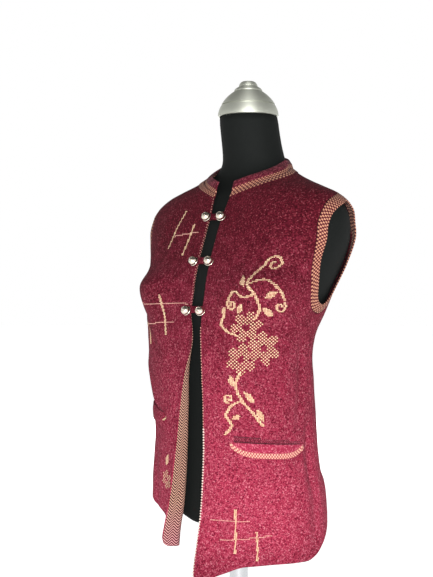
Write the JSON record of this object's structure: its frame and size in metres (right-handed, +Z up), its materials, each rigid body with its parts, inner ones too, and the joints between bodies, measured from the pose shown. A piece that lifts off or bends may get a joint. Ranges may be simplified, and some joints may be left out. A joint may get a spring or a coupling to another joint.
{
  "type": "sweater vest on a dress form",
  "caption": "Sleeveless open-front knitted vest with stand collar, beaded tabs and banded armholes, shown on a limbless dress form with a metal neck cap on a pole and round base.",
  "frame": {"origin": "centre of the part's bounding box, at its lowest point (the underside of the base)", "axes": "+Z up, the wearer's front faces -Y, the wearer's left is +X"},
  "size_m": [0.3774, 0.3188, 0.9168],
  "materials": {
    "wine_knit": "soft wine-red knit with pink flecks and a woven-in gold design",
    "gold_check_knit": "ribbed band in a small gold and wine check",
    "herringbone_facing": "tan and wine herringbone wrong side of the knit",
    "bead_metal": "polished metal bead",
    "form_cover": "matt greenish black",
    "cap_metal": "satin silver",
    "pole_metal": "bright steel tube",
    "base_paint": "satin black"
  },
  "bodies": {
    "root": {"front_left": "wine_knit", "front_right": "wine_knit", "back": "wine_knit", "collar": "wine_knit", "pocket_flap_left": "wine_knit", "pocket_flap_right": "wine_knit", "strap_1": "wine_knit", "strap_2": "wine_knit", "strap_3": "wine_knit", "armhole_band_left": "gold_check_knit", "armhole_band_right": "gold_check_knit", "facing_left": "herringbone_facing", "facing_right": "herringbone_facing", "bead_left_1": "bead_metal", "bead_left_2": "bead_metal", "bead_left_3": "bead_metal", "bead_right_1": "bead_metal", "bead_right_2": "bead_metal", "bead_right_3": "bead_metal", "form_torso": "form_cover", "neck_cap": "cap_metal", "pole": "pole_metal", "base": "base_paint"}
  },
  "joints": []
}
